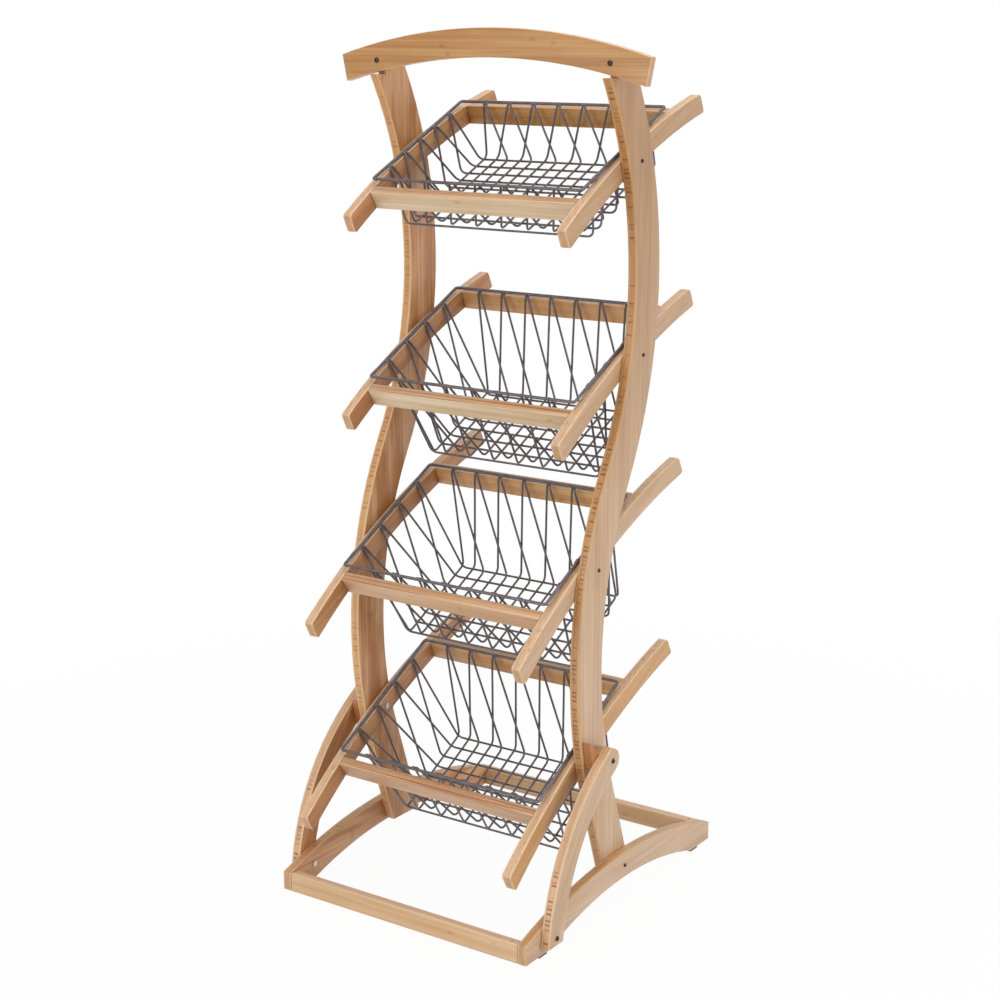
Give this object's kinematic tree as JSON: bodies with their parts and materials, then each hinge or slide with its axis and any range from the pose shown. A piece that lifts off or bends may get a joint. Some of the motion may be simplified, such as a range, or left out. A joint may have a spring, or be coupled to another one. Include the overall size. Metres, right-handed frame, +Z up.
{
  "type": "bread_rack",
  "caption": "Tall floor-standing bakery bread rack: S-curved wooden board uprights on an arched base, with tilting cradles that hold lift-out wire baskets under an arched header board.",
  "frame": {"origin": "On the floor under the middle of the overall box, halfway across the base and halfway from its front rail to its back rail.", "axes": "+Z up the rack; +Y from the low front ends of the cradles to their high back ends; +X to the right of someone who faces the front."},
  "size_m": [0.665, 0.67, 1.612],
  "materials": {
    "board": "clear satin lacquer over laminated bamboo board, strip edges showing",
    "header_board": "clear satin lacquer, strips running along the board",
    "wire_finish": "dark grey powder coat on round steel wire",
    "bolt_black": "black oxide",
    "nut_steel": "bright zinc",
    "foot_pad": "matt"
  },
  "bodies": {
    "frame": {"base_back_rail": "board", "base_front_rail": "board", "brace_bolt_left": "bolt_black", "brace_bolt_right": "bolt_black", "brace_left": "board", "brace_nut_left": "nut_steel", "brace_nut_right": "nut_steel", "brace_right": "board", "brace_spacer_left": "board", "brace_spacer_right": "board", "foot_back_left": "foot_pad", "foot_back_right": "foot_pad", "foot_front_left": "foot_pad", "foot_front_right": "foot_pad", "header_board": "header_board", "header_bolt_left": "bolt_black", "header_bolt_right": "bolt_black", "pivot1_bolt_left": "bolt_black", "pivot1_bolt_right": "bolt_black", "pivot1_nut_left": "nut_steel", "pivot1_nut_right": "nut_steel", "pivot2_bolt_left": "bolt_black", "pivot2_bolt_right": "bolt_black", "pivot2_nut_left": "nut_steel", "pivot2_nut_right": "nut_steel", "pivot3_bolt_left": "bolt_black", "pivot3_bolt_right": "bolt_black", "pivot3_nut_left": "nut_steel", "pivot3_nut_right": "nut_steel", "pivot4_bolt_left": "bolt_black", "pivot4_bolt_right": "bolt_black", "pivot4_nut_left": "nut_steel", "pivot4_nut_right": "nut_steel", "runner_bolt_left": "bolt_black", "runner_bolt_right": "bolt_black", "runner_left": "board", "runner_right": "board", "upright_left": "board", "upright_right": "board"},
    "cradle1": {"cradle1_arm_left": "board", "cradle1_arm_right": "board", "cradle1_back_rail": "board", "cradle1_front_rail": "board"},
    "basket1": {"basket1": "wire_finish"},
    "cradle2": {"cradle2_arm_left": "board", "cradle2_arm_right": "board", "cradle2_back_rail": "board", "cradle2_front_rail": "board"},
    "basket2": {"basket2": "wire_finish"},
    "cradle3": {"cradle3_arm_left": "board", "cradle3_arm_right": "board", "cradle3_back_rail": "board", "cradle3_front_rail": "board"},
    "basket3": {"basket3": "wire_finish"},
    "cradle4": {"cradle4_arm_left": "board", "cradle4_arm_right": "board", "cradle4_back_rail": "board", "cradle4_front_rail": "board"},
    "basket4": {"basket4": "wire_finish"}
  },
  "joints": [
    {"name": "tilt1", "type": "hinge", "parent": "frame", "child": "cradle1", "pos_m": [0, 0.05299, 1.384], "axis": [1, 0, 0], "range_deg": [-20, 8]},
    {"name": "tilt2", "type": "hinge", "parent": "frame", "child": "cradle2", "pos_m": [0, 0.06876, 1.037], "axis": [1, 0, 0], "range_deg": [-20, 8]},
    {"name": "tilt3", "type": "hinge", "parent": "frame", "child": "cradle3", "pos_m": [0, -0.07512, 0.666], "axis": [1, 0, 0], "range_deg": [-20, 8]},
    {"name": "tilt4", "type": "hinge", "parent": "frame", "child": "cradle4", "pos_m": [0, -0.08023, 0.312], "axis": [1, 0, 0], "range_deg": [-20, 8]},
    {"name": "lift1", "type": "slide", "parent": "cradle1", "child": "basket1", "axis": [0, -0.4226, 0.9063], "range_m": [0, 0.12]},
    {"name": "lift2", "type": "slide", "parent": "cradle2", "child": "basket2", "axis": [0, -0.4415, 0.8973], "range_m": [0, 0.15]},
    {"name": "lift3", "type": "slide", "parent": "cradle3", "child": "basket3", "axis": [0, -0.4617, 0.887], "range_m": [0, 0.035]},
    {"name": "lift4", "type": "slide", "parent": "cradle4", "child": "basket4", "axis": [0, -0.4802, 0.8771], "range_m": [0, 0.08]}
  ]
}
